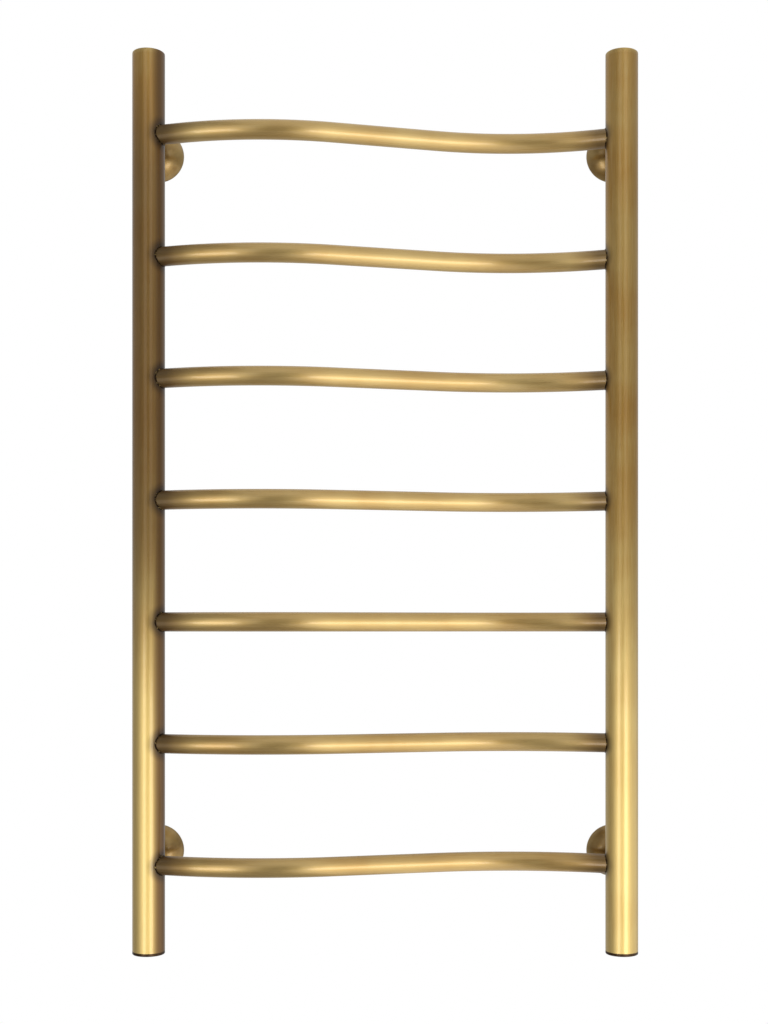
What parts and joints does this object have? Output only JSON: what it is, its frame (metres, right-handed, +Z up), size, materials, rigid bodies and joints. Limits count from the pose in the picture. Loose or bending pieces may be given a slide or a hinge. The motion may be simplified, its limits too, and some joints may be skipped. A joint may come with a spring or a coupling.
{
  "type": "towel warmer rack",
  "caption": "Wall-hung ladder towel warmer in aged brass: wavy water-heated rungs brazed between tube posts, on telescopic wall fixings with domed rosettes.",
  "frame": {"origin": "on the wall plane, midway between the four wall fixings", "axes": "+Z up, +Y into the wall, +X to the right as seen from the room"},
  "size_m": [0.521, 0.09, 0.89],
  "materials": {
    "aged_brass": "hand-relieved antique brass, satin brushed and lacquered, dark at the joints",
    "dark_bronze": "oxidised dark bronze, smooth",
    "plain_brass": "turned brass, bare",
    "black_steel": "black oxide",
    "rubber": "matt"
  },
  "bodies": {
    "rack": {"left_post": "aged_brass", "left_top_cap": "aged_brass", "left_connection_bush": "dark_bronze", "right_post": "aged_brass", "right_top_cap": "aged_brass", "right_connection_bush": "dark_bronze", "rung_1": "aged_brass", "rung_2": "aged_brass", "rung_3": "aged_brass", "rung_4": "aged_brass", "rung_5": "aged_brass", "rung_6": "aged_brass", "rung_7": "aged_brass", "upper_left_support_rod": "aged_brass", "upper_right_support_rod": "aged_brass", "lower_left_support_rod": "aged_brass", "lower_right_support_rod": "aged_brass", "vent_boss": "aged_brass", "vent_seal": "rubber", "vent_body": "plain_brass"},
    "upper_left_socket": {"upper_left_wall_socket": "aged_brass"},
    "upper_left_cover": {"upper_left_rosette": "aged_brass", "upper_left_rosette_ring": "rubber"},
    "upper_left_clamp_screw": {"upper_left_set_screw": "black_steel"},
    "upper_right_socket": {"upper_right_wall_socket": "aged_brass"},
    "upper_right_cover": {"upper_right_rosette": "aged_brass", "upper_right_rosette_ring": "rubber"},
    "upper_right_clamp_screw": {"upper_right_set_screw": "black_steel"},
    "lower_left_socket": {"lower_left_wall_socket": "aged_brass"},
    "lower_left_cover": {"lower_left_rosette": "aged_brass", "lower_left_rosette_ring": "rubber"},
    "lower_left_clamp_screw": {"lower_left_set_screw": "black_steel"},
    "lower_right_socket": {"lower_right_wall_socket": "aged_brass"},
    "lower_right_cover": {"lower_right_rosette": "aged_brass", "lower_right_rosette_ring": "rubber"},
    "lower_right_clamp_screw": {"lower_right_set_screw": "black_steel"},
    "vent_knob": {"vent_knob": "plain_brass"}
  },
  "joints": [
    {"name": "upper_left_reach", "type": "slide", "parent": "rack", "child": "upper_left_socket", "axis": [0, 1, 0], "range_m": [0, 0.008]},
    {"name": "upper_left_cover_slide", "type": "slide", "parent": "upper_left_socket", "child": "upper_left_cover", "axis": [0, -1, 0], "range_m": [0, 0.02]},
    {"name": "upper_left_clamp_turn", "type": "hinge", "parent": "upper_left_socket", "child": "upper_left_clamp_screw", "pos_m": [-0.234, -0.029, 0.3511], "axis": [0, 0, -1], "range_deg": [0, 360]},
    {"name": "upper_right_reach", "type": "slide", "parent": "rack", "child": "upper_right_socket", "axis": [0, 1, 0], "range_m": [0, 0.008]},
    {"name": "upper_right_cover_slide", "type": "slide", "parent": "upper_right_socket", "child": "upper_right_cover", "axis": [0, -1, 0], "range_m": [0, 0.02]},
    {"name": "upper_right_clamp_turn", "type": "hinge", "parent": "upper_right_socket", "child": "upper_right_clamp_screw", "pos_m": [0.234, -0.029, 0.3511], "axis": [0, 0, -1], "range_deg": [0, 360]},
    {"name": "lower_left_reach", "type": "slide", "parent": "rack", "child": "lower_left_socket", "axis": [0, 1, 0], "range_m": [0, 0.008]},
    {"name": "lower_left_cover_slide", "type": "slide", "parent": "lower_left_socket", "child": "lower_left_cover", "axis": [0, -1, 0], "range_m": [0, 0.02]},
    {"name": "lower_left_clamp_turn", "type": "hinge", "parent": "lower_left_socket", "child": "lower_left_clamp_screw", "pos_m": [-0.234, -0.029, -0.3639], "axis": [0, 0, -1], "range_deg": [0, 360]},
    {"name": "lower_right_reach", "type": "slide", "parent": "rack", "child": "lower_right_socket", "axis": [0, 1, 0], "range_m": [0, 0.008]},
    {"name": "lower_right_cover_slide", "type": "slide", "parent": "lower_right_socket", "child": "lower_right_cover", "axis": [0, -1, 0], "range_m": [0, 0.02]},
    {"name": "lower_right_clamp_turn", "type": "hinge", "parent": "lower_right_socket", "child": "lower_right_clamp_screw", "pos_m": [0.234, -0.029, -0.3639], "axis": [0, 0, -1], "range_deg": [0, 360]},
    {"name": "vent_knob_turn", "type": "hinge", "parent": "rack", "child": "vent_knob", "pos_m": [0.234, -0.028, 0.4135], "axis": [0, 1, 0], "range_deg": [0, 360]}
  ]
}
